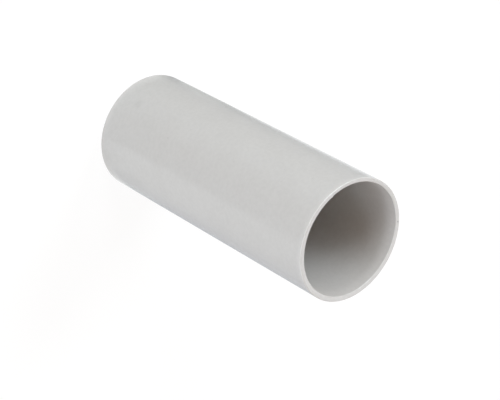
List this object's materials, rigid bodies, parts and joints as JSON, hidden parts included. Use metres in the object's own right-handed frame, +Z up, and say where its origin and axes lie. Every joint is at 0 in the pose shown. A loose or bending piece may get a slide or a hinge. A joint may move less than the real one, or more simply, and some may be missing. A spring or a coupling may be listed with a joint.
{
  "type": "conduit coupling",
  "caption": "Plain straight sleeve that joins rigid electrical conduit end to end, with a push-fit socket in each end and a stop ring at mid-length.",
  "frame": {"origin": "middle of the end that the sleeve stands on, on the sleeve's axis", "axes": "+Z up along the sleeve's axis, towards the open mouth that faces the viewer in the picture; the sleeve is round, so +X and +Y are any square pair across it"},
  "size_m": [0.0278, 0.0278, 0.071],
  "materials": {
    "grey_conduit_plastic": "satin"
  },
  "bodies": {
    "root": {"coupling_sleeve": "grey_conduit_plastic"}
  },
  "joints": []
}
